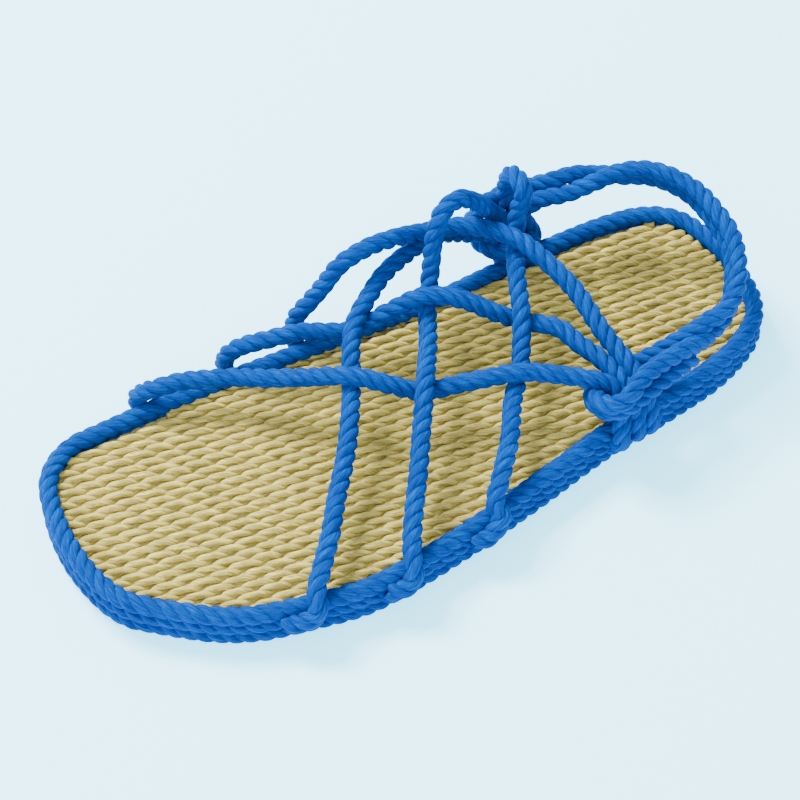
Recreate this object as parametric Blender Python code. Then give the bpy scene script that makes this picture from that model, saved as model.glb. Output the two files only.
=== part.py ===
"""Rope sandal for a left foot.

Three coils of blue rope lie on one another as the rim of the sole and hold a bed of
straw cords. Six ropes are woven over the instep, and a doubled rope runs round the heel
and loops about the strap ends at both sides.

+X runs from toe to heel, +Y to the inner side of the foot, +Z up from the floor. The
origin is under the middle of the rim's length.
"""
import math

import bmesh
import bpy
import numpy as np

# Driving sizes in metres
RIM_LENGTH = 0.262
BALL_WIDTH = 0.0995
HEEL_WIDTH = 0.080
ROPE = 0.0066
COIL_PITCH = 0.0053
FOOTBED_HEIGHT = 0.0127
CORD_PITCH = 0.0041
CORD_GROOVE = 0.0011
STRAP_RISE = 0.048
GAP = 0.0003

# Proportions of the ropes and their weave
COILS = 3
FOOT_SHARE = 0.45
WEAVE_SHARE = 0.45
HUG_SLACK = 1.05

# Facets of the rounded pieces
RIM_STATIONS = 60
RIM_SIDES = 10
STRAP_SIDES = 8
LONGEST_STEP = 1.25 * ROPE
SHARPEST_TURN = math.radians(24.0)

# Rim centre line: distance along the rim's length from its middle, and distance from
# the long axis as a share of the width there
RIM_INNER_SIDE = (
    (-0.50, 0.092), (-0.48, 0.361), (-0.44, 0.446), (-0.38, 0.459), (-0.28, 0.457),
    (-0.16, 0.442), (-0.04, 0.447), (0.08, 0.470), (0.20, 0.501), (0.30, 0.511),
    (0.38, 0.499), (0.44, 0.460), (0.48, 0.359), (0.50, 0.066),
)
RIM_OUTER_SIDE = (
    (0.48, -0.259), (0.44, -0.366), (0.38, -0.436), (0.30, -0.477), (0.20, -0.508),
    (0.08, -0.554), (-0.04, -0.563), (-0.14, -0.560), (-0.20, -0.558), (-0.28, -0.516),
    (-0.36, -0.448), (-0.44, -0.292), (-0.48, -0.176),
)

# Routes of the ropes, as shares: along the rim's length, across the width there, height
# over the sole in rises of the straps, and a fourth number where a rope crosses another:
# 1 over it, -1 under it
OUTER_STRAP_ROUTES = (
    (
        (-0.244, -0.457, 0.128), (-0.214, -0.372, 0.180), (-0.183, -0.262, 0.190),
        (-0.147, -0.152, 0.232), (-0.115, -0.031, 0.305), (-0.085, 0.103, 0.382, -1),
        (-0.067, 0.201, 0.367), (-0.044, 0.291, 0.365, 1), (-0.008, 0.376, 0.467),
        (0.023, 0.437, 0.503), (0.059, 0.491, 0.509), (0.099, 0.544, 0.555, -1),
        (0.137, 0.572, 0.440), (0.176, 0.586, 0.315), (0.209, 0.588, 0.220),
    ),
    (
        (-0.126, -0.512, 0.117), (-0.080, -0.346, 0.211), (-0.046, -0.215, 0.294),
        (-0.015, -0.088, 0.336, 1), (0.023, 0.079, 0.367), (0.056, 0.257, 0.451, -1),
        (0.080, 0.368, 0.555), (0.095, 0.421, 0.800), (0.110, 0.446, 0.955),
        (0.137, 0.474, 0.982), (0.170, 0.492, 0.826), (0.198, 0.519, 0.596),
        (0.229, 0.565, 0.326),
    ),
    (
        (0.017, -0.508, 0.159), (0.049, -0.417, 0.211), (0.087, -0.263, 0.228),
        (0.117, -0.162, 0.288, -1), (0.139, -0.062, 0.284), (0.158, 0.043, 0.324, 1),
        (0.176, 0.175, 0.461), (0.209, 0.369, 0.528, -1), (0.223, 0.431, 0.680),
        (0.230, 0.428, 0.820), (0.231, 0.442, 0.900), (0.232, 0.496, 0.940),
        (0.233, 0.555, 0.875), (0.234, 0.588, 0.720), (0.236, 0.590, 0.500),
        (0.254, 0.573, 0.326),
    ),
)
INNER_STRAP_ROUTES = (
    (
        (-0.314, 0.487, 0.090), (-0.305, 0.461, 0.144), (-0.271, 0.432, 0.176),
        (-0.219, 0.362, 0.201), (-0.177, 0.272, 0.259), (-0.132, 0.179, 0.332),
        (-0.090, 0.078, 0.374, 1), (-0.052, 0.005, 0.371), (-0.011, -0.055, 0.334, -1),
        (0.046, -0.116, 0.299), (0.109, -0.206, 0.288, 1), (0.154, -0.293, 0.321),
        (0.181, -0.360, 0.305), (0.200, -0.409, 0.286), (0.211, -0.451, 0.244),
        (0.212, -0.491, 0.182), (0.209, -0.521, 0.128),
    ),
    (
        (-0.194, 0.477, 0.128), (-0.177, 0.455, 0.211), (-0.144, 0.416, 0.280),
        (-0.109, 0.387, 0.311), (-0.040, 0.316, 0.365, -1), (0.006, 0.285, 0.444),
        (0.052, 0.261, 0.467, 1), (0.097, 0.186, 0.482), (0.132, 0.110, 0.367),
        (0.162, 0.068, 0.319, -1), (0.195, -0.070, 0.311), (0.206, -0.180, 0.286),
        (0.218, -0.284, 0.274), (0.223, -0.375, 0.261), (0.226, -0.451, 0.232),
        (0.227, -0.501, 0.178), (0.228, -0.534, 0.128),
    ),
    (
        (-0.093, 0.504, 0.107), (-0.087, 0.500, 0.221), (-0.073, 0.493, 0.326),
        (-0.052, 0.490, 0.471), (-0.027, 0.485, 0.659), (0.008, 0.493, 0.732),
        (0.046, 0.511, 0.711), (0.103, 0.535, 0.561, 1), (0.149, 0.495, 0.628),
        (0.179, 0.424, 0.617), (0.202, 0.329, 0.544, 1), (0.218, 0.188, 0.565),
        (0.233, 0.019, 0.482), (0.236, -0.190, 0.388), (0.240, -0.281, 0.336),
        (0.243, -0.365, 0.301), (0.244, -0.436, 0.263), (0.246, -0.488, 0.196),
        (0.249, -0.522, 0.128),
    ),
)
HEEL_ROUTES = (
    (
        (0.236, 0.538, 0.211), (0.247, 0.528, 0.430), (0.277, 0.512, 0.520),
        (0.310, 0.476, 0.535), (0.348, 0.444, 0.596), (0.382, 0.414, 0.659),
        (0.412, 0.360, 0.680), (0.437, 0.276, 0.669), (0.454, 0.152, 0.655),
        (0.457, 0.025, 0.638), (0.456, -0.104, 0.607), (0.446, -0.202, 0.576),
        (0.428, -0.302, 0.524), (0.409, -0.366, 0.482), (0.388, -0.399, 0.451),
        (0.365, -0.401, 0.424), (0.342, -0.407, 0.399), (0.322, -0.403, 0.361),
        (0.303, -0.392, 0.315), (0.286, -0.375, 0.253), (0.269, -0.355, 0.186),
        (0.250, -0.337, 0.132), (0.226, -0.333, 0.103), (0.205, -0.349, 0.107),
        (0.187, -0.393, 0.140), (0.180, -0.459, 0.186), (0.185, -0.529, 0.221),
        (0.199, -0.556, 0.244), (0.218, -0.554, 0.259), (0.247, -0.536, 0.274),
        (0.275, -0.517, 0.278), (0.302, -0.497, 0.274), (0.327, -0.470, 0.253),
    ),
    (
        (0.267, 0.500, 0.149), (0.246, 0.491, 0.107), (0.224, 0.512, 0.092),
        (0.208, 0.559, 0.086), (0.199, 0.618, 0.103), (0.193, 0.655, 0.190),
        (0.187, 0.652, 0.357), (0.199, 0.643, 0.503), (0.223, 0.630, 0.524),
        (0.251, 0.620, 0.519), (0.278, 0.586, 0.551), (0.306, 0.546, 0.592),
        (0.333, 0.541, 0.574), (0.356, 0.521, 0.545), (0.378, 0.491, 0.525),
        (0.396, 0.434, 0.540), (0.421, 0.378, 0.549), (0.442, 0.301, 0.538),
        (0.457, 0.185, 0.521), (0.460, 0.065, 0.505), (0.459, -0.059, 0.478),
        (0.451, -0.156, 0.449), (0.435, -0.248, 0.407), (0.418, -0.321, 0.361),
        (0.396, -0.376, 0.326), (0.372, -0.408, 0.296), (0.337, -0.458, 0.363),
        (0.305, -0.478, 0.411), (0.266, -0.498, 0.424), (0.238, -0.520, 0.424),
        (0.219, -0.545, 0.407), (0.205, -0.566, 0.382), (0.189, -0.557, 0.345),
        (0.179, -0.500, 0.290), (0.186, -0.425, 0.215), (0.206, -0.371, 0.174),
    ),
)

# Where each strap meets the rim, along the rim's length: its free end, then its end in
# the bundle at the other side
OUTER_STRAP_ENDS = ((-0.266, 0.228), (-0.140, 0.260), (-0.007, 0.284))
INNER_STRAP_ENDS = ((-0.322, 0.197), (-0.200, 0.220), (-0.093, 0.243))


def clear_scene():
    for item in list(bpy.data.objects):
        bpy.data.objects.remove(item, do_unlink=True)


def coil_height(index):
    """Height of a rim coil's centre over the floor."""
    return FOOT_SHARE * ROPE + index * COIL_PITCH


def sole_height():
    return coil_height(COILS - 1) + ROPE / 2


def width_at(along):
    """Width of the rim: the ball's in front, the heel's behind, blended between."""
    share = min(max((along + 0.2) / 0.4, 0.0), 1.0)
    blend = share * share * (3.0 - 2.0 * share)
    return BALL_WIDTH + (HEEL_WIDTH - BALL_WIDTH) * blend


def smooth_curve(points, closed, per_span=24):
    """Dense points on a smooth curve through the given ones."""
    points = np.asarray(points, float)
    count = len(points)
    spans = count if closed else count - 1
    curve = []
    for i in range(spans):
        if closed:
            p0, p1, p2, p3 = (points[(i + k) % count] for k in (-1, 0, 1, 2))
        else:
            p1, p2 = points[i], points[i + 1]
            p0 = points[i - 1] if i > 0 else 2 * p1 - p2
            p3 = points[i + 2] if i + 2 < count else 2 * p2 - p1
        knots = [0.0]
        for a, b in ((p0, p1), (p1, p2), (p2, p3)):
            knots.append(knots[-1] + max(np.linalg.norm(b - a), 1e-9) ** 0.5)
        k0, k1, k2, k3 = knots
        for t in np.linspace(k1, k2, per_span, endpoint=False):
            a1 = p0 + (p1 - p0) * (t - k0) / (k1 - k0)
            a2 = p1 + (p2 - p1) * (t - k1) / (k2 - k1)
            a3 = p2 + (p3 - p2) * (t - k2) / (k3 - k2)
            b1 = a1 + (a2 - a1) * (t - k0) / (k2 - k0)
            b2 = a2 + (a3 - a2) * (t - k1) / (k3 - k1)
            curve.append(b1 + (b2 - b1) * (t - k1) / (k2 - k1))
    if not closed:
        curve.append(points[-1])
    return np.array(curve)


def rim_curve():
    """Dense closed centre line of the rim in the floor plane."""
    rows = RIM_INNER_SIDE + RIM_OUTER_SIDE
    points = [(along * RIM_LENGTH, share * width_at(along)) for along, share in rows]
    return smooth_curve(points, closed=True)


def even_stations(curve, count):
    """Points and outward directions at even steps round a closed plane curve."""
    ring = np.vstack([curve, curve[:1]])
    lengths = np.r_[0.0, np.cumsum(np.linalg.norm(np.diff(ring, axis=0), axis=1))]
    steps = np.linspace(0.0, lengths[-1], count, endpoint=False)
    points = np.stack([np.interp(steps, lengths, ring[:, k]) for k in range(2)], axis=1)
    along = np.roll(points, -1, axis=0) - np.roll(points, 1, axis=0)
    along /= np.linalg.norm(along, axis=1)[:, None]
    outward = np.stack([-along[:, 1], along[:, 0]], axis=1)
    return points, outward


def rim_place(along, side):
    """Point of the rim's centre line on one side, and its outward direction."""
    points, outward = even_stations(rim_curve(), 400)
    distance = np.abs(points[:, 0] - along * RIM_LENGTH)
    distance[points[:, 1] * side < 0] = RIM_LENGTH
    nearest = int(np.argmin(distance))
    return points[nearest], outward[nearest]


def rim_point(along, side, offset, height):
    """Point beside the top coil, outward by offset and up by height from its centre."""
    place, outward = rim_place(along, side)
    flat = place + outward * offset
    return (flat[0], flat[1], coil_height(COILS - 1) + height)


def free_end(along, side):
    """A strap's end, from outside the rim up and over the top coil."""
    reach = (ROPE + GAP) * HUG_SLACK
    end = [rim_point(along, side, reach, -0.6 * ROPE)]
    for angle in (5.0, 45.0, 80.0):
        turn = math.radians(angle)
        end.append(rim_point(along, side, reach * math.cos(turn), reach * math.sin(turn)))
    return end


def outside_end(along, side):
    """A strap's end that goes down past the outside of the top coil."""
    reach = (ROPE + GAP) * HUG_SLACK
    turn = math.radians(30.0)
    return [
        rim_point(along, side, reach * math.cos(turn), reach * math.sin(turn)),
        rim_point(along, side, reach, 0.0),
        rim_point(along, side, reach, -0.6 * ROPE),
    ]


def route_points(rows):
    points = []
    for along, across, height, *weave in rows:
        lift = WEAVE_SHARE * ROPE * weave[0] if weave else 0.0
        z = sole_height() + height * STRAP_RISE + lift
        points.append((along * RIM_LENGTH, across * width_at(along), z))
    return points


def strap_points(rows, ends, side):
    start, finish = ends
    if side > 0:
        head = outside_end(start, side)[::-1]
    else:
        head = free_end(start, side)
    return head + route_points(rows) + outside_end(finish, -side)


def thin_out(curve):
    """Keep the points that a tube needs, closer together in its bends."""
    kept = [0]
    heading = curve[1] - curve[0]
    walked = 0.0
    for i in range(1, len(curve) - 1):
        step = curve[i + 1] - curve[i]
        walked += np.linalg.norm(curve[i] - curve[i - 1])
        lengths = np.linalg.norm(step) * np.linalg.norm(heading)
        turn = math.acos(min(1.0, float(step @ heading) / lengths))
        if walked > LONGEST_STEP or turn > SHARPEST_TURN:
            kept.append(i)
            heading = step
            walked = 0.0
    kept.append(len(curve) - 1)
    return curve[kept]


def add_faces_between(bm, rings, closed):
    count = len(rings)
    for i in range(count if closed else count - 1):
        here, there = rings[i], rings[(i + 1) % count]
        for k in range(len(here)):
            after = (k + 1) % len(here)
            bm.faces.new((here[k], here[after], there[after], there[k]))


def finish_mesh(name, bm):
    bmesh.ops.recalc_face_normals(bm, faces=bm.faces)
    mesh = bpy.data.meshes.new(name)
    bm.to_mesh(mesh)
    bm.free()
    return mesh


def tube_mesh(name, points, radius):
    """Round rope along a smooth route, with flat cut ends."""
    centres = thin_out(smooth_curve(points, closed=False))
    bm = bmesh.new()
    rings = []
    across = None
    for i, centre in enumerate(centres):
        ahead = centres[min(i + 1, len(centres) - 1)] - centres[max(i - 1, 0)]
        ahead /= np.linalg.norm(ahead)
        if across is None:
            across = np.cross(ahead, (0.3, 0.5, 0.8))
        across = across - ahead * (across @ ahead)
        across /= np.linalg.norm(across)
        third = np.cross(ahead, across)
        ring = []
        for k in range(STRAP_SIDES):
            angle = 2 * math.pi * k / STRAP_SIDES
            spoke = across * math.cos(angle) + third * math.sin(angle)
            ring.append(bm.verts.new(centre + spoke * radius))
        rings.append(ring)
    add_faces_between(bm, rings, closed=False)
    bm.faces.new(rings[0])
    bm.faces.new(rings[-1])
    return finish_mesh(name, bm)


def add_object(name, mesh, material):
    item = bpy.data.objects.new(name, mesh)
    bpy.context.collection.objects.link(item)
    if material is not None:
        mesh.materials.clear()
        mesh.materials.append(material)
    return item


def combine(base, tools, operation):
    """Join tool meshes to a base object, or cut them from it, and keep the result."""
    for tool in tools:
        change = base.modifiers.new(operation.title(), "BOOLEAN")
        change.operation = operation
        change.solver = "EXACT"
        change.object = tool
    view = bpy.context.evaluated_depsgraph_get()
    result = bpy.data.meshes.new_from_object(base.evaluated_get(view))
    base.modifiers.clear()
    base.data = result
    for tool in tools:
        bpy.data.objects.remove(tool, do_unlink=True)
    return base


def joined_tubes(name, routes, radius, material):
    tubes = []
    for i, points in enumerate(routes):
        mesh = tube_mesh(f"{name}_{i}", points, radius)
        tubes.append(add_object(mesh.name, mesh, material))
    base = combine(tubes[0], tubes[1:], "UNION")
    base.name = name
    return base


def shade(item, angle_degrees):
    item.data.shade_smooth()
    item.data.set_sharp_from_angle(angle=math.radians(angle_degrees))


def plain_material(name, colour, roughness):
    material = bpy.data.materials.new(name)
    material.use_nodes = True
    surface = material.node_tree.nodes["Principled BSDF"]
    surface.inputs["Base Color"].default_value = (*colour, 1.0)
    surface.inputs["Roughness"].default_value = roughness
    surface.inputs["Metallic"].default_value = 0.0
    return material


def make_footbed(material):
    """Straw rows as ribs on a slab, trimmed to the inside of the rim."""
    rows = math.ceil(0.5 * max(BALL_WIDTH, HEEL_WIDTH) / CORD_PITCH) + 2
    reach = RIM_LENGTH
    profile = [(-rows * CORD_PITCH, 0.0)]
    for row in range(-rows, rows):
        start = row * CORD_PITCH
        groove = FOOTBED_HEIGHT - CORD_GROOVE
        profile.append((start, groove))
        profile.append((start + 0.3 * CORD_PITCH, FOOTBED_HEIGHT))
        profile.append((start + 0.7 * CORD_PITCH, FOOTBED_HEIGHT))
    profile.append((rows * CORD_PITCH, FOOTBED_HEIGHT - CORD_GROOVE))
    profile.append((rows * CORD_PITCH, 0.0))
    bm = bmesh.new()
    rings = []
    for x in (-reach, reach):
        rings.append([bm.verts.new((x, y, z)) for y, z in profile])
    add_faces_between(bm, rings, closed=False)
    for ring in rings:
        bm.faces.new(ring)
    slab = add_object("footbed", finish_mesh("footbed", bm), material)

    points, outward = even_stations(rim_curve(), RIM_STATIONS)
    edge = points - outward * (ROPE / 2 + GAP)
    bm = bmesh.new()
    rings = []
    for z in (-FOOTBED_HEIGHT, 2 * FOOTBED_HEIGHT):
        rings.append([bm.verts.new((x, y, z)) for x, y in edge])
    add_faces_between(bm, rings, closed=False)
    for ring in rings:
        bm.faces.new(ring)
    trim = add_object("trim", finish_mesh("trim", bm), None)
    combine(slab, [trim], "INTERSECT")
    shade(slab, 20.0)


def make_rim(material):
    """Coils of rope, pressed flat where they lie on one another and on the floor."""
    points, outward = even_stations(rim_curve(), RIM_STATIONS)
    pressed = (COIL_PITCH - GAP) / 2
    for coil, name in enumerate(("rim_rope_bottom", "rim_rope_middle", "rim_rope_top")):
        below = FOOT_SHARE * ROPE if coil == 0 else pressed
        above = ROPE / 2 if coil == COILS - 1 else pressed
        bm = bmesh.new()
        rings = []
        for place, out in zip(points, outward):
            ring = []
            for k in range(RIM_SIDES):
                angle = 2 * math.pi * k / RIM_SIDES
                flat = place + out * (ROPE / 2 * math.cos(angle))
                rise = min(max(ROPE / 2 * math.sin(angle), -below), above)
                ring.append(bm.verts.new((flat[0], flat[1], coil_height(coil) + rise)))
            rings.append(ring)
        add_faces_between(bm, rings, closed=True)
        shade(add_object(name, finish_mesh(name, bm), material), 50.0)


def make_straps(material):
    routes = []
    for rows, ends in zip(OUTER_STRAP_ROUTES, OUTER_STRAP_ENDS):
        routes.append(strap_points(rows, ends, -1))
    for rows, ends in zip(INNER_STRAP_ROUTES, INNER_STRAP_ENDS):
        routes.append(strap_points(rows, ends, 1))
    shade(joined_tubes("instep_straps", routes, ROPE / 2, material), 50.0)

    heel_routes = [route_points(rows) for rows in HEEL_ROUTES]
    heel = joined_tubes("heel_strap", heel_routes, ROPE / 2, material)
    clearance = joined_tubes("clearance", routes, ROPE / 2 + GAP, None)
    combine(heel, [clearance], "DIFFERENCE")
    shade(heel, 50.0)


def main():
    clear_scene()
    blue_rope = plain_material("blue_rope", (0.01, 0.13, 0.55), 0.6)
    straw_cord = plain_material("straw_cord", (0.62, 0.50, 0.26), 0.75)
    make_footbed(straw_cord)
    make_rim(blue_rope)
    make_straps(blue_rope)


main()
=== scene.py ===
# %% [markdown]
# # A sandal made of rope
#
# Everything on this sandal is rope or cord. Three coils of blue rope make the rim of the
# sole, twisted straw cords fill it, six blue ropes are woven over the foot, and a doubled
# rope runs round the heel. So the lesson is about one thing: how to model laid rope that
# looks right up close, and how to lead it along a route.
#
# The frame is loaded first. It holds the solid model of the sandal in metres, and every
# piece made here takes its place and size from it.

# %% Load the frame
import math

import bmesh
import bpy
import numpy as np
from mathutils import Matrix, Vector


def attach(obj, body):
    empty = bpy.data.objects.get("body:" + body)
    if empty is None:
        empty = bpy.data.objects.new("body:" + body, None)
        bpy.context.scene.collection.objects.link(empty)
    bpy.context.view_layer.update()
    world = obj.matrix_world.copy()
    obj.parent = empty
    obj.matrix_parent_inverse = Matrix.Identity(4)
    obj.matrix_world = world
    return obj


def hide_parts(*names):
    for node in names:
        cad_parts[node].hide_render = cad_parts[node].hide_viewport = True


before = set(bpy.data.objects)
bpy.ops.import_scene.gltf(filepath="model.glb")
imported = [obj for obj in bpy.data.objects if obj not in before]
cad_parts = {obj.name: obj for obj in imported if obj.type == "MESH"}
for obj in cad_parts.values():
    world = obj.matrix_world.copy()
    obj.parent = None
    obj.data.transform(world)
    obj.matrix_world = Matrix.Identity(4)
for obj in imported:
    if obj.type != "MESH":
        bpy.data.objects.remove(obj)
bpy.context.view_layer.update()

# %% [markdown]
# ## The camera
#
# A photograph's viewpoint can be measured from things whose shape is known. The outlines
# of the soles gave a camera about 83 cm away with a long lens, looking down at about 50
# degrees. It is aimed at the middle of the one sandal that is modelled. Blender's camera
# looks along its own -Z axis, so its rotation is the one that turns -Z to the viewing
# direction with Y kept upwards.

# %% Set the camera
EYE = Vector((-0.2524, -0.4252, 0.6653))
LOOK = Vector((0.3014, 0.5265, -0.7949))
LENS = 106.0
SENSOR_WIDTH = 36.0

camera_data = bpy.data.cameras.new("camera")
camera_data.lens = LENS
camera_data.sensor_width = SENSOR_WIDTH
camera_data.clip_start = 0.05
camera = bpy.data.objects.new("camera", camera_data)
camera.location = EYE
camera.rotation_euler = LOOK.to_track_quat("-Z", "Y").to_euler()
bpy.context.scene.collection.objects.link(camera)
bpy.context.scene.camera = camera
print("camera at", tuple(round(v, 3) for v in EYE))

# %% [markdown]
# ## The sandal's sizes
#
# The sizes are the ones that the solid model was built from: the rim's length and widths,
# the thickness of the rope, and how far the coils lie apart. The outline of the rim is a
# short table. Each row gives a place along the rim and how far the rim is from the long
# axis there, as a share of the width.

# %% Name the sizes
RIM_LENGTH = 0.262
BALL_WIDTH = 0.0995
HEEL_WIDTH = 0.080
ROPE = 0.0066
COIL_PITCH = 0.0053
COILS = 3
FOOT_SHARE = 0.45
FOOTBED_HEIGHT = 0.0127
CORD_PITCH = 0.0041
STRAP_RISE = 0.048
MM = 1000.0

RIM_INNER_SIDE = (
    (-0.50, 0.092), (-0.48, 0.361), (-0.44, 0.446), (-0.38, 0.459), (-0.28, 0.457),
    (-0.16, 0.442), (-0.04, 0.447), (0.08, 0.470), (0.20, 0.501), (0.30, 0.511),
    (0.38, 0.499), (0.44, 0.460), (0.48, 0.359), (0.50, 0.066),
)
RIM_OUTER_SIDE = (
    (0.48, -0.259), (0.44, -0.366), (0.38, -0.436), (0.30, -0.477), (0.20, -0.508),
    (0.08, -0.554), (-0.04, -0.563), (-0.14, -0.560), (-0.20, -0.558), (-0.28, -0.516),
    (-0.36, -0.448), (-0.44, -0.292), (-0.48, -0.176),
)


def width_at(along):
    """Width of the rim: the ball's in front, the heel's behind, blended between."""
    share = min(max((along + 0.2) / 0.4, 0.0), 1.0)
    blend = share * share * (3.0 - 2.0 * share)
    return BALL_WIDTH + (HEEL_WIDTH - BALL_WIDTH) * blend


def coil_height(index):
    """Height of a rim coil's centre over the floor."""
    return FOOT_SHARE * ROPE + index * COIL_PITCH


SOLE_HEIGHT = coil_height(COILS - 1) + ROPE / 2
print("sole height in mm", round(SOLE_HEIGHT * MM, 1))

# %% [markdown]
# ## Routes
#
# A rope's route is a handful of points with a smooth curve through them. The curve here is
# a Catmull-Rom curve: it passes through every point and never overshoots much, which is
# how a supple rope lies. It is then cut into even steps, so that the twist comes out even.

# %% Draw a smooth route through points
def smooth_curve(points, closed, per_span=24):
    """Dense points on a smooth curve through the given ones."""
    points = np.asarray(points, float)
    count = len(points)
    curve = []
    for i in range(count if closed else count - 1):
        if closed:
            p0, p1, p2, p3 = (points[(i + k) % count] for k in (-1, 0, 1, 2))
        else:
            p1, p2 = points[i], points[i + 1]
            p0 = points[i - 1] if i > 0 else 2 * p1 - p2
            p3 = points[i + 2] if i + 2 < count else 2 * p2 - p1
        knots = [0.0]
        for a, b in ((p0, p1), (p1, p2), (p2, p3)):
            knots.append(knots[-1] + max(np.linalg.norm(b - a), 1e-9) ** 0.5)
        k0, k1, k2, k3 = knots
        for t in np.linspace(k1, k2, per_span, endpoint=False):
            a1 = p0 + (p1 - p0) * (t - k0) / (k1 - k0)
            a2 = p1 + (p2 - p1) * (t - k1) / (k2 - k1)
            a3 = p2 + (p3 - p2) * (t - k2) / (k3 - k2)
            b1 = a1 + (a2 - a1) * (t - k0) / (k2 - k0)
            b2 = a2 + (a3 - a2) * (t - k1) / (k3 - k1)
            curve.append(b1 + (b2 - b1) * (t - k1) / (k2 - k1))
    if not closed:
        curve.append(points[-1])
    return np.array(curve)


def even_steps(curve, closed, step):
    """The curve cut into equal steps of about the given length, and its whole length."""
    ring = np.vstack([curve, curve[:1]]) if closed else curve
    lengths = np.r_[0.0, np.cumsum(np.linalg.norm(np.diff(ring, axis=0), axis=1))]
    count = max(4, round(lengths[-1] / step))
    stops = np.linspace(0.0, lengths[-1], count + 1)
    columns = [np.interp(stops, lengths, ring[:, k]) for k in range(ring.shape[1])]
    return np.stack(columns, axis=1), lengths[-1]


RIM_STEP = 0.0015
rim_rows = RIM_INNER_SIDE + RIM_OUTER_SIDE
RIM_FLAT = smooth_curve([(a * RIM_LENGTH, s * width_at(a)) for a, s in rim_rows], closed=True)
RIM_EVEN, rim_around = even_steps(RIM_FLAT, True, RIM_STEP)
RIM_SPARSE = 6
print("one turn of the rim in mm", round(rim_around * MM))


def rim_inside(inset):
    """The rim's centre line drawn in by the given distance."""
    heading = np.roll(RIM_EVEN[:-1], -1, axis=0) - np.roll(RIM_EVEN[:-1], 1, axis=0)
    heading /= np.linalg.norm(heading, axis=1)[:, None]
    return RIM_EVEN[:-1] - np.stack([-heading[:, 1], heading[:, 0]], axis=1) * inset

# %% [markdown]
# ## Laid rope
#
# A laid rope is three strands twisted round each other. Each strand is a tube whose centre
# runs in a helix round the rope's centre line. A tube could be a curve with a bevel, but
# then nothing on its surface would know which way the fibres run. So a flat grid is rolled
# up instead: one direction of the grid goes along the strand and the other goes round it,
# and the grid's own UV map rolls up with it. That map, in millimetres, later leads the
# fibres along the yarns.
#
# The frames along the route are carried from ring to ring without twisting, so that the
# only twist is the rope's own.

# %% Carry a frame along a route
def carried_frames(centres, closed):
    """Directions ahead, across and aside at each centre, with no twist of their own."""
    if closed:
        ahead = np.roll(centres[:-1], -1, axis=0) - np.roll(centres[:-1], 1, axis=0)
        ahead = np.vstack([ahead, ahead[:1]])
    else:
        ahead = np.gradient(centres, axis=0)
    ahead /= np.linalg.norm(ahead, axis=1)[:, None]
    across = np.zeros_like(ahead)
    start = np.cross(ahead[0], (0.0, 0.0, 1.0))
    if np.linalg.norm(start) < 0.2:
        start = np.cross(ahead[0], (1.0, 0.0, 0.0))
    previous = start
    for i, direction in enumerate(ahead):
        previous = previous - direction * (previous @ direction)
        previous = previous / np.linalg.norm(previous)
        across[i] = previous
    aside = np.cross(ahead, across)
    return ahead, across, aside


# %% Roll a grid into a strand
def roll_strand(bm, surface, length, girth, closed):
    """Add one strand from a grid of surface points, with a UV map in millimetres."""
    rings, sides = surface.shape[0] - 1, surface.shape[1] - 1
    uv_layer = bm.loops.layers.uv.verify()
    grid = bmesh.ops.create_grid(
        bm, x_segments=rings, y_segments=sides, size=1.0, calc_uvs=True)
    faces = set()
    for vert in grid["verts"]:
        i = round((vert.co.x + 1.0) / 2.0 * rings)
        j = round((vert.co.y + 1.0) / 2.0 * sides)
        faces.update(vert.link_faces)
        vert.co = surface[i, j]
    for face in faces:
        face.smooth = True
        for loop in face.loops:
            u, v = loop[uv_layer].uv
            loop[uv_layer].uv = (u * length * MM, v * girth * MM)
    bmesh.ops.remove_doubles(bm, verts=grid["verts"], dist=1e-7)
    if not closed:
        open_edges = [edge for edge in bm.edges if edge.is_boundary]
        bmesh.ops.holes_fill(bm, edges=open_edges, sides=0)


# %% [markdown]
# A strand is a little flattened where it presses on its neighbours. Its section here is an
# ellipse, wider round the rope than towards the rope's heart. Small slow waves in the twist
# and in the thickness keep the rope from looking machined. In two-ply cord each strand
# lingers at the top and the bottom, which draws out the lozenges that show from above.

# %% Lay strands round a route
TWIST_WAVE = 0.021
SWELL_WAVE = 0.034
SWELL = 0.03


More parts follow.
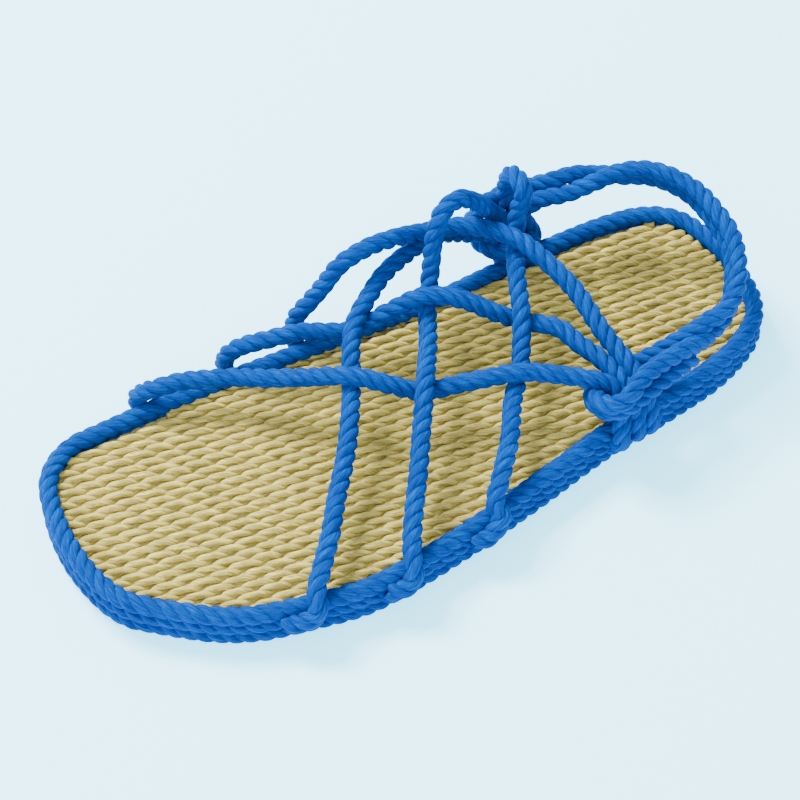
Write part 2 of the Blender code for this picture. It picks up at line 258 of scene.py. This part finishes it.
def add_rope(bm, points, kind, closed=False, phase=0.0, squash=1.0):
    """Lay the strands of one rope along a route. Returns the route's length."""
    curve = smooth_curve(points, closed)
    centres, length = even_steps(curve, closed, kind["lay"] / kind["rings"])
    ahead, across, aside = carried_frames(centres, closed)
    turns = length / kind["lay"]
    if closed:
        turns = round(turns)
    travel = np.linspace(0.0, 1.0, len(centres))
    wobble = kind["wobble"] * np.sin(travel * length / TWIST_WAVE * 2 * math.pi + phase * 3.0)
    if closed:
        wobble = wobble * np.sin(math.pi * travel)
    radius = kind["thickness"] / 2
    strands = kind["strands"]
    orbit = radius * kind["orbit"]
    wide = radius * kind["wide"]
    slim = radius - orbit
    spin = 2 * math.pi * turns * travel + wobble + phase
    tilt = math.atan(2 * math.pi * orbit * turns / length)
    angles = np.linspace(0.0, 2 * math.pi, kind["sides"] + 1)
    for strand in range(strands):
        turn = -kind["hand"] * spin + 2 * math.pi * strand / strands
        turn = turn + kind["linger"] * np.sin(2 * turn)
        outward = across * np.cos(turn)[:, None] + aside * np.sin(turn)[:, None]
        around = -across * np.sin(turn)[:, None] + aside * np.cos(turn)[:, None]
        swell_turn = travel * length / SWELL_WAVE * 2 * math.pi + 2.1 * strand
        swell = 1.0 + SWELL * np.sin(swell_turn)
        heart = centres + outward * orbit
        girth_way = around * math.cos(tilt) + kind["hand"] * ahead * math.sin(tilt)
        rings = []
        for angle in angles:
            out_part = -math.cos(angle) * slim * swell
            side_part = math.sin(angle) * wide * swell
            rings.append(heart + outward * out_part[:, None] + girth_way * side_part[:, None])
        surface = np.stack(rings, axis=1)
        if squash != 1.0:
            middle = centres[:, None, 2]
            surface[:, :, 2] = middle + (surface[:, :, 2] - middle) * squash
        strand_length = length / math.cos(tilt)
        roll_strand(bm, surface, strand_length, math.pi * (wide + slim), closed)
    return length


def finish_piece(name, bm, material, slot, *nodes):
    """Make a mesh object of the bmesh, riding on the sandal and standing for its solids."""
    bmesh.ops.recalc_face_normals(bm, faces=bm.faces)
    mesh = bpy.data.meshes.new(name)
    bm.to_mesh(mesh)
    bm.free()
    piece = bpy.data.objects.new(name, mesh)
    bpy.context.scene.collection.objects.link(piece)
    mesh.materials.append(material)
    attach(piece, "root")
    if nodes:
        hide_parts(*nodes)
    triangles = sum(len(face.vertices) - 2 for face in mesh.polygons)
    print(name, triangles, "triangles")
    return piece


# %% [markdown]
# ## The blue rope's finish
#
# The rope is spun from fine, slightly glossy fibres. In a laid rope the yarns are twisted
# against the strands, so on the outside the fibres run almost straight along the rope. On
# the strand's own map they are therefore slanted by the angle of the lay. A noise that is
# stretched along that slant gives the fibres, and a coarser one gives the yarns.

# %% Mix a fibre finish
FIBRE_PATTERN = {"along": 0.25, "across": 2.2, "detail": 3.0, "roughness": 0.6}
YARN_PATTERN = {"along": 0.10, "across": 1.1, "detail": 1.0, "roughness": 0.5}
BLOTCH_PATTERN = {"along": 0.09, "across": 0.16, "detail": 2.0, "roughness": 0.5}
YARN_SHARE, YARN_HEIGHT_SHARE, BLOTCH_SHARE = 0.50, 0.55, 0.20
RAMP_STOPS = (0.37, 0.50, 0.63)
DULLER, SHINIER = 0.12, 0.10


def fibre_finish(name, slant_degrees, dark, middle, light, fibre, yarn, bump_depth, gloss):
    """Material with fibres slanted across a strand's UV map in millimetres."""
    material = bpy.data.materials.new(name)
    material.use_nodes = True
    nodes, links = material.node_tree.nodes, material.node_tree.links
    surface = nodes["Principled BSDF"]

    place = nodes.new("ShaderNodeUVMap")
    turn = nodes.new("ShaderNodeMapping")
    turn.inputs["Rotation"].default_value[2] = math.radians(slant_degrees)
    links.new(place.outputs["UV"], turn.inputs["Vector"])

    def stretched_noise(pattern, size):
        scale = nodes.new("ShaderNodeVectorMath")
        scale.operation = "MULTIPLY"
        scale.inputs[1].default_value = (pattern["along"] / size, pattern["across"] / size, 1.0)
        links.new(turn.outputs["Vector"], scale.inputs[0])
        noise = nodes.new("ShaderNodeTexNoise")
        noise.inputs["Scale"].default_value = 1.0
        noise.inputs["Detail"].default_value = pattern["detail"]
        noise.inputs["Roughness"].default_value = pattern["roughness"]
        links.new(scale.outputs["Vector"], noise.inputs["Vector"])
        return noise.outputs["Fac"]

    fibres = stretched_noise(FIBRE_PATTERN, fibre)
    yarns = stretched_noise(YARN_PATTERN, yarn)
    blotches = stretched_noise(BLOTCH_PATTERN, 1.0)

    def mixed(a, b, share):
        mix = nodes.new("ShaderNodeMix")
        mix.data_type = "FLOAT"
        mix.inputs["Factor"].default_value = share
        links.new(a, mix.inputs[2])
        links.new(b, mix.inputs[3])
        return mix.outputs[0]

    tone = mixed(mixed(fibres, yarns, YARN_SHARE), blotches, BLOTCH_SHARE)
    ramp = nodes.new("ShaderNodeValToRGB")
    ramp.color_ramp.elements[0].position = RAMP_STOPS[0]
    ramp.color_ramp.elements[0].color = (*dark, 1.0)
    ramp.color_ramp.elements[1].position = RAMP_STOPS[2]
    ramp.color_ramp.elements[1].color = (*light, 1.0)
    centre = ramp.color_ramp.elements.new(RAMP_STOPS[1])
    centre.color = (*middle, 1.0)
    links.new(tone, ramp.inputs["Fac"])
    links.new(ramp.outputs["Color"], surface.inputs["Base Color"])

    height = mixed(fibres, yarns, YARN_HEIGHT_SHARE)
    bump = nodes.new("ShaderNodeBump")
    bump.inputs["Strength"].default_value = 1.0
    bump.inputs["Distance"].default_value = bump_depth
    links.new(height, bump.inputs["Height"])
    links.new(bump.outputs["Normal"], surface.inputs["Normal"])

    shine = nodes.new("ShaderNodeMapRange")
    shine.inputs["To Min"].default_value = gloss - SHINIER
    shine.inputs["To Max"].default_value = gloss + DULLER
    links.new(fibres, shine.inputs["Value"])
    links.new(shine.outputs["Result"], surface.inputs["Roughness"])
    return material


# %% Dye the rope blue
blue_rope = fibre_finish(
    "blue_rope", slant_degrees=-36.0,
    dark=(0.000, 0.022, 0.140), middle=(0.000, 0.040, 0.230), light=(0.000, 0.080, 0.360),
    fibre=0.36, yarn=0.55, bump_depth=0.00022, gloss=0.60)
blue_surface = blue_rope.node_tree.nodes["Principled BSDF"]
blue_surface.inputs["Specular IOR Level"].default_value = 0.03

# %% [markdown]
# The straw is pale, dry and a little waxy. Its blades lie along the strand and show as
# long streaks, some more olive and some nearly white, so the tones lie further apart than
# in the rope, and the streaks are coarser and slant less.

# %% Dry the straw
straw_cord = fibre_finish(
    "straw_cord", slant_degrees=-10.0,
    dark=(0.200, 0.160, 0.040), middle=(0.430, 0.360, 0.098), light=(0.800, 0.670, 0.160),
    fibre=0.42, yarn=0.80, bump_depth=0.00030, gloss=0.60)
straw_surface = straw_cord.node_tree.nodes["Principled BSDF"]
straw_surface.inputs["Specular IOR Level"].default_value = 0.10

# %% [markdown]
# ## The rim
#
# Three coils of rope lie on one another. They are pressed together, so each is a little
# lower than it is wide. Each coil is a closed loop with a whole number of turns of lay,
# which lets every strand meet its own start.

# %% Lay the rim ropes
BLUE_LAID = {
    "thickness": ROPE * 1.04, "lay": 0.0148, "strands": 3, "hand": -1, "rings": 22,
    "sides": 14, "orbit": 0.52, "wide": 0.525, "wobble": 0.10, "linger": 0.0,
}
RIM_SQUASH = 0.90

for coil, node in enumerate(("rim_rope_bottom", "rim_rope_middle", "rim_rope_top")):
    bm = bmesh.new()
    height = coil_height(coil)
    loop_points = [(x, y, height) for x, y in RIM_EVEN[:-1:RIM_SPARSE]]
    add_rope(bm, loop_points, BLUE_LAID, closed=True, phase=1.3 * coil, squash=RIM_SQUASH)
    finish_piece("rope_" + node, bm, blue_rope, "blue_rope", node)

# %% [markdown]
# ## The woven straps
#
# The routes repeat the ones that the solid straps follow: shares of the rim's length, of
# the width there, and of the rise of the straps over the sole. A fourth number lifts or
# drops a rope where it crosses another.

# %% List the strap routes
OUTER_STRAP_ROUTES = (
    (
        (-0.244, -0.457, 0.128), (-0.214, -0.372, 0.180), (-0.183, -0.262, 0.190),
        (-0.147, -0.152, 0.232), (-0.115, -0.031, 0.305), (-0.085, 0.103, 0.382, -1),
        (-0.067, 0.201, 0.367), (-0.044, 0.291, 0.365, 1), (-0.008, 0.376, 0.467),
        (0.023, 0.437, 0.503), (0.059, 0.491, 0.509), (0.099, 0.544, 0.555, -1),
        (0.137, 0.572, 0.440), (0.176, 0.586, 0.315), (0.209, 0.588, 0.220),
    ),
    (
        (-0.126, -0.512, 0.117), (-0.080, -0.346, 0.211), (-0.046, -0.215, 0.294),
        (-0.015, -0.088, 0.336, 1), (0.023, 0.079, 0.367), (0.056, 0.257, 0.451, -1),
        (0.080, 0.368, 0.555), (0.095, 0.421, 0.800), (0.110, 0.446, 0.955),
        (0.137, 0.474, 0.982), (0.170, 0.492, 0.826), (0.198, 0.519, 0.596),
        (0.229, 0.565, 0.326),
    ),
    (
        (0.017, -0.508, 0.159), (0.049, -0.417, 0.211), (0.087, -0.263, 0.228),
        (0.117, -0.162, 0.288, -1), (0.139, -0.062, 0.284), (0.158, 0.043, 0.324, 1),
        (0.176, 0.175, 0.461), (0.209, 0.369, 0.528, -1), (0.223, 0.431, 0.680),
        (0.230, 0.428, 0.800), (0.231, 0.442, 0.870), (0.233, 0.496, 0.895),
        (0.234, 0.555, 0.845), (0.234, 0.588, 0.720), (0.236, 0.590, 0.500),
        (0.254, 0.573, 0.326),
    ),
)
INNER_STRAP_ROUTES = (
    (
        (-0.314, 0.487, 0.090), (-0.305, 0.461, 0.144), (-0.271, 0.432, 0.176),
        (-0.219, 0.362, 0.201), (-0.177, 0.272, 0.259), (-0.132, 0.179, 0.332),
        (-0.090, 0.078, 0.374, 1), (-0.052, 0.005, 0.371), (-0.011, -0.055, 0.334, -1),
        (0.046, -0.116, 0.299), (0.109, -0.206, 0.288, 1), (0.154, -0.293, 0.321),
        (0.181, -0.360, 0.305), (0.200, -0.409, 0.286), (0.211, -0.451, 0.244),
        (0.212, -0.491, 0.182), (0.209, -0.521, 0.128),
    ),
    (
        (-0.194, 0.477, 0.128), (-0.177, 0.455, 0.211), (-0.144, 0.416, 0.280),
        (-0.109, 0.387, 0.311), (-0.040, 0.316, 0.365, -1), (0.006, 0.285, 0.444),
        (0.052, 0.261, 0.467, 1), (0.097, 0.186, 0.482), (0.132, 0.110, 0.367),
        (0.162, 0.068, 0.319, -1), (0.195, -0.070, 0.311), (0.206, -0.180, 0.286),
        (0.218, -0.284, 0.274), (0.223, -0.375, 0.261), (0.226, -0.451, 0.232),
        (0.227, -0.501, 0.178), (0.228, -0.534, 0.128),
    ),
    (
        (-0.093, 0.504, 0.107), (-0.087, 0.500, 0.221), (-0.073, 0.493, 0.326),
        (-0.052, 0.490, 0.471), (-0.027, 0.485, 0.659), (0.008, 0.493, 0.732),
        (0.046, 0.511, 0.711), (0.103, 0.535, 0.561, 1), (0.149, 0.495, 0.628),
        (0.179, 0.424, 0.617), (0.202, 0.329, 0.544, 1), (0.218, 0.188, 0.565),
        (0.233, 0.019, 0.482), (0.236, -0.190, 0.388), (0.240, -0.281, 0.336),
        (0.243, -0.365, 0.301), (0.244, -0.436, 0.263), (0.246, -0.488, 0.196),
        (0.249, -0.522, 0.128),
    ),
)
OUTER_STRAP_ENDS = ((-0.266, 0.228), (-0.140, 0.260), (-0.007, 0.284))
INNER_STRAP_ENDS = ((-0.322, 0.197), (-0.200, 0.220), (-0.093, 0.243))

# %% [markdown]
# On the sandal's outer side a strap's front end lies over the top coil, runs a little way
# towards the toe as a pressed lump and is tucked in under the coil. All other ends come
# down the outside of the coils and are pulled in between them. The solid model stops just
# outside the coils, and here each route goes on a little further. The ends are listed in
# rope thicknesses, so that they keep their shape with another rope.

# %% Lead the strap ends round the rim
WEAVE_SHARE = 0.45


def rim_point(along, side, offset, height):
    """Point beside the top coil, outward by offset and up by height from its centre."""
    distance = np.abs(RIM_EVEN[:, 0] - along * RIM_LENGTH)
    distance[RIM_EVEN[:, 1] * side < 0] = RIM_LENGTH
    nearest = int(np.argmin(distance))
    place = RIM_EVEN[nearest]
    before = RIM_EVEN[nearest - 1]
    after = RIM_EVEN[(nearest + 1) % (len(RIM_EVEN) - 1)]
    heading = (after - before) / np.linalg.norm(after - before)
    outward = np.array((-heading[1], heading[0]))
    flat = place + outward * offset
    return (flat[0], flat[1], coil_height(COILS - 1) + height)


def free_end(along, side):
    """A strap's front end: from under the top coil outward, back along it and over it."""
    steps = (
        (-1.55, 0.42, -0.30), (-1.35, 0.72, -0.28), (-0.92, 0.86, -0.18),
        (-0.42, 0.87, 0.15), (-0.10, 0.62, 0.62), (0.0, 0.12, 0.92),
    )
    step = ROPE / RIM_LENGTH
    return [rim_point(along + a * step, side, b * ROPE, c * ROPE) for a, b, c in steps]


def outside_end(along, side):
    """A strap's end that comes down the outside of the coils and goes in between them."""
    steps = ((0.82, 0.47), (0.93, 0.05), (0.82, -0.30), (0.42, -0.45))
    return [rim_point(along, side, b * ROPE, c * ROPE) for b, c in steps]


def route_points(rows):
    """Points in metres for a table of shares."""
    points = []
    for along, across, height, *weave in rows:
        lift = WEAVE_SHARE * ROPE * weave[0] if weave else 0.0
        z = SOLE_HEIGHT + height * STRAP_RISE + lift
        points.append((along * RIM_LENGTH, across * width_at(along), z))
    return points


bm = bmesh.new()
rope_used = 0.0
for side, routes, ends in (
        (-1, OUTER_STRAP_ROUTES, OUTER_STRAP_ENDS), (1, INNER_STRAP_ROUTES, INNER_STRAP_ENDS)):
    for number, (rows, (start, finish)) in enumerate(zip(routes, ends)):
        head = free_end(start, side) if side < 0 else outside_end(start, side)[::-1]
        route = head + route_points(rows) + outside_end(finish, -side)
        rope_used += add_rope(bm, route, BLUE_LAID, phase=0.9 * number + side)
finish_piece("rope_instep_straps", bm, blue_rope, "blue_rope", "instep_straps")
print("rope in the straps in mm", round(rope_used * MM))

# %% [markdown]
# ## The heel strap
#
# Two ropes run round the heel together. At each side they loop about the ends of the
# woven straps and hold them in a bundle.

# %% Lay the heel strap
HEEL_ROUTES = (
    (
        (0.236, 0.538, 0.211), (0.247, 0.528, 0.430), (0.277, 0.512, 0.520),
        (0.310, 0.476, 0.535), (0.348, 0.444, 0.596), (0.382, 0.414, 0.659),
        (0.412, 0.360, 0.680), (0.437, 0.276, 0.669), (0.454, 0.152, 0.655),
        (0.457, 0.025, 0.638), (0.456, -0.104, 0.607), (0.446, -0.202, 0.576),
        (0.428, -0.302, 0.524), (0.409, -0.366, 0.482), (0.388, -0.399, 0.451),
        (0.365, -0.401, 0.424), (0.342, -0.407, 0.399), (0.322, -0.403, 0.361),
        (0.303, -0.392, 0.315), (0.286, -0.375, 0.253), (0.269, -0.355, 0.186),
        (0.250, -0.337, 0.132), (0.226, -0.333, 0.103), (0.205, -0.349, 0.107),
        (0.187, -0.393, 0.140), (0.180, -0.459, 0.186), (0.185, -0.529, 0.221),
        (0.199, -0.556, 0.244), (0.218, -0.554, 0.259), (0.247, -0.536, 0.274),
        (0.275, -0.517, 0.278), (0.302, -0.497, 0.274), (0.327, -0.470, 0.253),
    ),
    (
        (0.267, 0.500, 0.149), (0.246, 0.491, 0.107), (0.224, 0.512, 0.092),
        (0.208, 0.559, 0.086), (0.200, 0.618, 0.103), (0.195, 0.655, 0.175),
        (0.193, 0.652, 0.300), (0.205, 0.643, 0.430), (0.225, 0.632, 0.495),
        (0.251, 0.620, 0.519), (0.278, 0.586, 0.551), (0.306, 0.546, 0.592),
        (0.333, 0.541, 0.574), (0.356, 0.521, 0.545), (0.378, 0.491, 0.525),
        (0.396, 0.434, 0.540), (0.421, 0.378, 0.549), (0.442, 0.301, 0.538),
        (0.457, 0.185, 0.521), (0.460, 0.065, 0.505), (0.459, -0.059, 0.478),
        (0.451, -0.156, 0.449), (0.435, -0.248, 0.407), (0.418, -0.321, 0.361),
        (0.396, -0.376, 0.326), (0.372, -0.408, 0.296), (0.337, -0.458, 0.363),
        (0.305, -0.478, 0.411), (0.266, -0.498, 0.424), (0.238, -0.520, 0.424),
        (0.219, -0.545, 0.407), (0.205, -0.566, 0.382), (0.189, -0.557, 0.345),
        (0.179, -0.500, 0.290), (0.186, -0.425, 0.215), (0.206, -0.371, 0.174),
    ),
)
bm = bmesh.new()
rope_used = 0.0
for number, rows in enumerate(HEEL_ROUTES):
    rope_used += add_rope(bm, route_points(rows), BLUE_LAID, phase=1.7 * number)
finish_piece("rope_heel_strap", bm, blue_rope, "blue_rope", "heel_strap")
print("rope in the heel strap in mm", round(rope_used * MM))

# %% [markdown]
# ## The straw footbed
#
# The bed is made of two-ply straw cord, laid in straight rows side by side with a slight
# slant to the long axis. From each row to the next the twist is shifted along the row by a
# part of a turn, a little more on the outer half of the bed than on the inner one. This
# makes the brick-like pattern of slanted lozenges, whose lines bend along the bed's middle.
# A row ends in the groove under the top coil.

# %% Find where a row meets the rim
ROW_SLANT = math.radians(-3.1)
ROW_AHEAD = np.array((math.cos(ROW_SLANT), math.sin(ROW_SLANT)))
ROW_ASIDE = np.array((-math.sin(ROW_SLANT), math.cos(ROW_SLANT)))


def row_span(offset, inset):
    """Ends of a straw row, inset from the rim's centre line, or None if it misses it."""
    inner = rim_inside(inset)
    aside = inner @ ROW_ASIDE - offset
    ahead = inner @ ROW_AHEAD
    after = np.roll(aside, -1)
    hits = np.nonzero((aside < 0) != (after < 0))[0]
    if len(hits) < 2:
        return None
    places = []
    for i in hits:
        share = aside[i] / (aside[i] - after[i])
        places.append(ahead[i] + share * (np.roll(ahead, -1)[i] - ahead[i]))
    return min(places), max(places)


# %% Lay the straw rows
STRAW_LAID = {
    "thickness": 0.0044, "lay": 0.0148, "strands": 2, "hand": -1, "rings": 14,
    "sides": 8, "orbit": 0.46, "wide": 0.55, "wobble": 0.15, "linger": 0.33,
}
CORD_RADIUS = STRAW_LAID["thickness"] / 2
ROW_NUMBERS = range(-14, 15)
ROW_POINTS = 9
ROW_INSET = ROPE * 0.36
SHORTEST_ROW = 0.012
ROW_DRIFT = 0.00018
ROW_LIFT = 0.00022
INNER_SHIFT = 0.0031
OUTER_SHIFT = 0.0041
UNEVEN_TWIST = 0.25


def lay_rows(name, height, kind, *nodes):
    """Fill the inside of the rim with straw rows whose centres lie at one height."""
    bm = bmesh.new()
    rows = 0
    used = 0.0
    for number in ROW_NUMBERS:
        offset = (number + 0.5) * CORD_PITCH
        span = row_span(offset, ROW_INSET)
        if span is None or span[1] - span[0] < SHORTEST_ROW:
            continue
        points = []
        for stop in np.linspace(span[0], span[1], ROW_POINTS):
            drift = ROW_DRIFT * math.sin(stop * 61.0 + number * 2.3)
            lift = ROW_LIFT * math.sin(stop * 47.0 + number * 4.1)
            flat = ROW_AHEAD * stop + ROW_ASIDE * (offset + drift)
            points.append((flat[0], flat[1], height + lift))
        shift = -(INNER_SHIFT if number >= 0 else OUTER_SHIFT) * number
        start_phase = 2 * math.pi * (span[0] - shift) / kind["lay"]
        start_phase += UNEVEN_TWIST * math.sin(number * 1.9)
        used += add_rope(bm, points, kind, phase=start_phase)
        rows += 1
    print(rows, "rows, cord in mm", round(used * MM))
    return finish_piece(name, bm, straw_cord, "straw_cord", *nodes)


lay_rows("straw_rows_top", FOOTBED_HEIGHT - CORD_RADIUS, STRAW_LAID, "footbed")
STRAW_UNDER = dict(STRAW_LAID, rings=8, sides=6)
UNDER_CLEARANCE = 0.0002
lay_rows("straw_rows_under", CORD_RADIUS + UNDER_CLEARANCE, STRAW_UNDER)

# %% [markdown]
# Between the upper and the lower rows the real bed is packed with more cord, which nobody
# sees. A thin slab there keeps light from shining through. The extrusion makes its side
# faces in an order that can change from run to run, so they are sorted.

# %% Pack the middle of the bed
PACKING_INSET = ROPE * 0.35
PACKING_HEIGHT = FOOTBED_HEIGHT - 2.2 * CORD_RADIUS


def around_the_bed(element):
    """Place of a corner or face round the bed, the upper ones after the lower ones."""
    spot = element.co if isinstance(element, bmesh.types.BMVert) else element.calc_center_median()
    return math.atan2(spot.y, spot.x) + 10.0 * round(spot.z * MM)


bm = bmesh.new()
outline = rim_inside(PACKING_INSET)[::RIM_SPARSE]
corners = [bm.verts.new((x, y, CORD_RADIUS)) for x, y in outline]
base = bm.faces.new(corners)
raised = bmesh.ops.extrude_face_region(bm, geom=[base])
top = [item for item in raised["geom"] if isinstance(item, bmesh.types.BMVert)]
bmesh.ops.translate(bm, verts=top, vec=(0, 0, PACKING_HEIGHT))
for elements in (bm.verts, bm.faces):
    elements.sort(key=around_the_bed)
uv_layer = bm.loops.layers.uv.verify()
for face in bm.faces:
    for loop in face.loops:
        loop[uv_layer].uv = (loop.vert.co.x * MM, loop.vert.co.y * MM)
finish_piece("straw_packing", bm, straw_cord, "straw_cord")

# %% [markdown]
# ## Floor and light
#
# The sandal lies on a plain, nearly white floor with a cool cast, which glows a little so
# that it stays as pale as a bright studio floor. A soft light high up behind the sandal
# gives gentle shadows, and a weaker one in front and the bright surroundings fill them.

# %% Lay the floor
FLOOR_COLOUR = (0.55, 0.86, 1.00, 1.0)
FLOOR_GLOW = (0.12, 0.75, 1.0, 1.0)
FLOOR_GLOW_STRENGTH = 2.6

bm = bmesh.new()
bmesh.ops.create_grid(bm, x_segments=1, y_segments=1, size=3.0)
floor_mesh = bpy.data.meshes.new("floor")
bm.to_mesh(floor_mesh)
bm.free()
floor = bpy.data.objects.new("floor", floor_mesh)
bpy.context.scene.collection.objects.link(floor)
floor_finish = bpy.data.materials.new("floor_finish")
floor_finish.use_nodes = True
floor_surface = floor_finish.node_tree.nodes["Principled BSDF"]
floor_surface.inputs["Base Color"].default_value = FLOOR_COLOUR
floor_surface.inputs["Roughness"].default_value = 0.6
floor_surface.inputs["Specular IOR Level"].default_value = 0.1
floor_surface.inputs["Emission Color"].default_value = FLOOR_GLOW
floor_surface.inputs["Emission Strength"].default_value = FLOOR_GLOW_STRENGTH
floor_mesh.materials.append(floor_finish)

# %% Hang the lights
SKY_COLOUR = (0.86, 0.93, 1.0, 1.0)
SKY_STRENGTH = 1.35


def soft_light(name, place, size, watts, colour):
    """A square soft light at the given place, turned towards the sandal's middle."""
    data = bpy.data.lights.new(name, "AREA")
    data.energy = watts
    data.size = size
    data.color = colour
    lamp = bpy.data.objects.new(name, data)
    lamp.location = place
    lamp.rotation_euler = (-Vector(place)).to_track_quat("-Z", "Y").to_euler()
    bpy.context.scene.collection.objects.link(lamp)


soft_light("key_light", (-0.3, 0.9, 1.3), 0.6, 78.0, (1.0, 0.98, 0.95))
soft_light("fill_light", (-1.1, -0.8, 0.9), 1.2, 17.0, (0.92, 0.96, 1.0))

world = bpy.data.worlds.new("surroundings")
bpy.context.scene.world = world
world.use_nodes = True
sky = world.node_tree.nodes["Background"]
sky.inputs["Color"].default_value = SKY_COLOUR
sky.inputs["Strength"].default_value = SKY_STRENGTH
